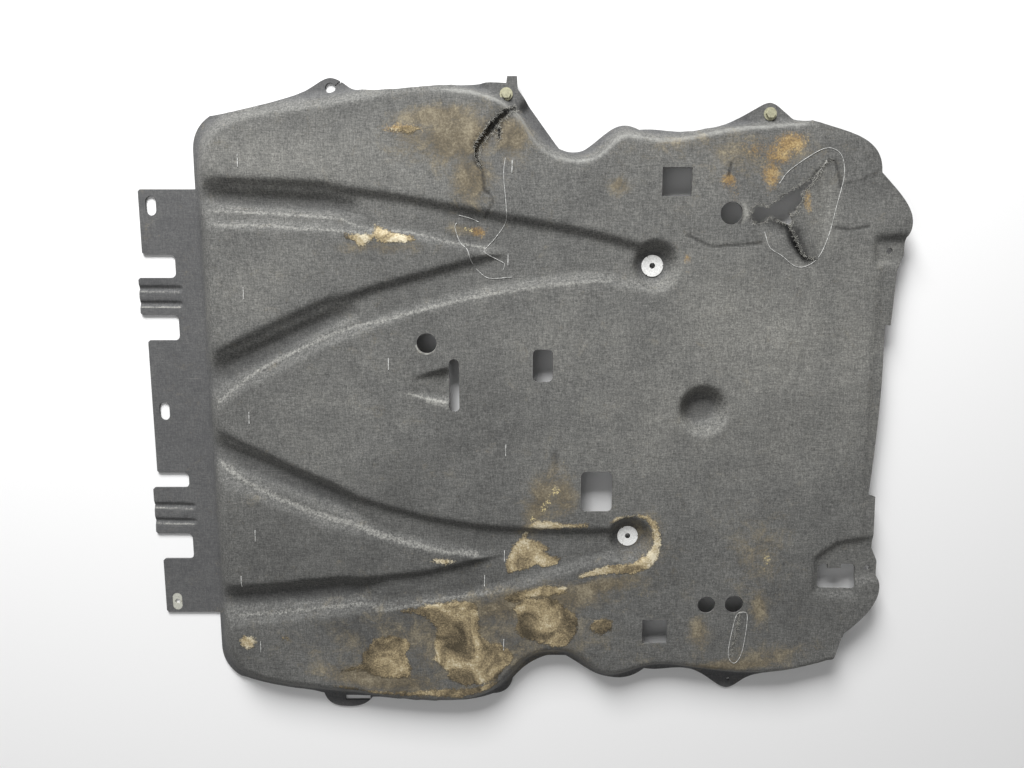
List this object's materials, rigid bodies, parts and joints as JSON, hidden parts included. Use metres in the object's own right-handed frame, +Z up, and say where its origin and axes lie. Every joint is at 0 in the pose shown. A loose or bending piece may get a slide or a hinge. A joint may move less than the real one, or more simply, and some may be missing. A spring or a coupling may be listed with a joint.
{
  "type": "engine splash shield",
  "caption": "Moulded felt engine splash shield with forked stiffening grooves, screw wells, windows, slotted front tabs and a torn rear corner.",
  "frame": {"origin": "middle of the shield's plan, on the plane of the flange's underside", "axes": "+X towards the rear edge, +Y towards the side with the torn corner, +Z up out of the road side, which faces up as the shield lies on its flange"},
  "size_m": [0.958, 0.824, 0.0411],
  "materials": {
    "felt": "pressed grey-black felt, scuffed and muddy",
    "washer_steel": "plain zinc-plated steel, slightly dulled",
    "screw_steel": "zinc-plated steel with a yellowish tint",
    "bush_steel": "bare pressed steel, dulled"
  },
  "bodies": {
    "root": {"splash_panel": "felt", "upper_well_washer": "washer_steel", "lower_well_washer": "washer_steel", "front_ear_screw": "screw_steel", "rear_ear_screw": "screw_steel", "slot_bush": "bush_steel"}
  },
  "joints": []
}
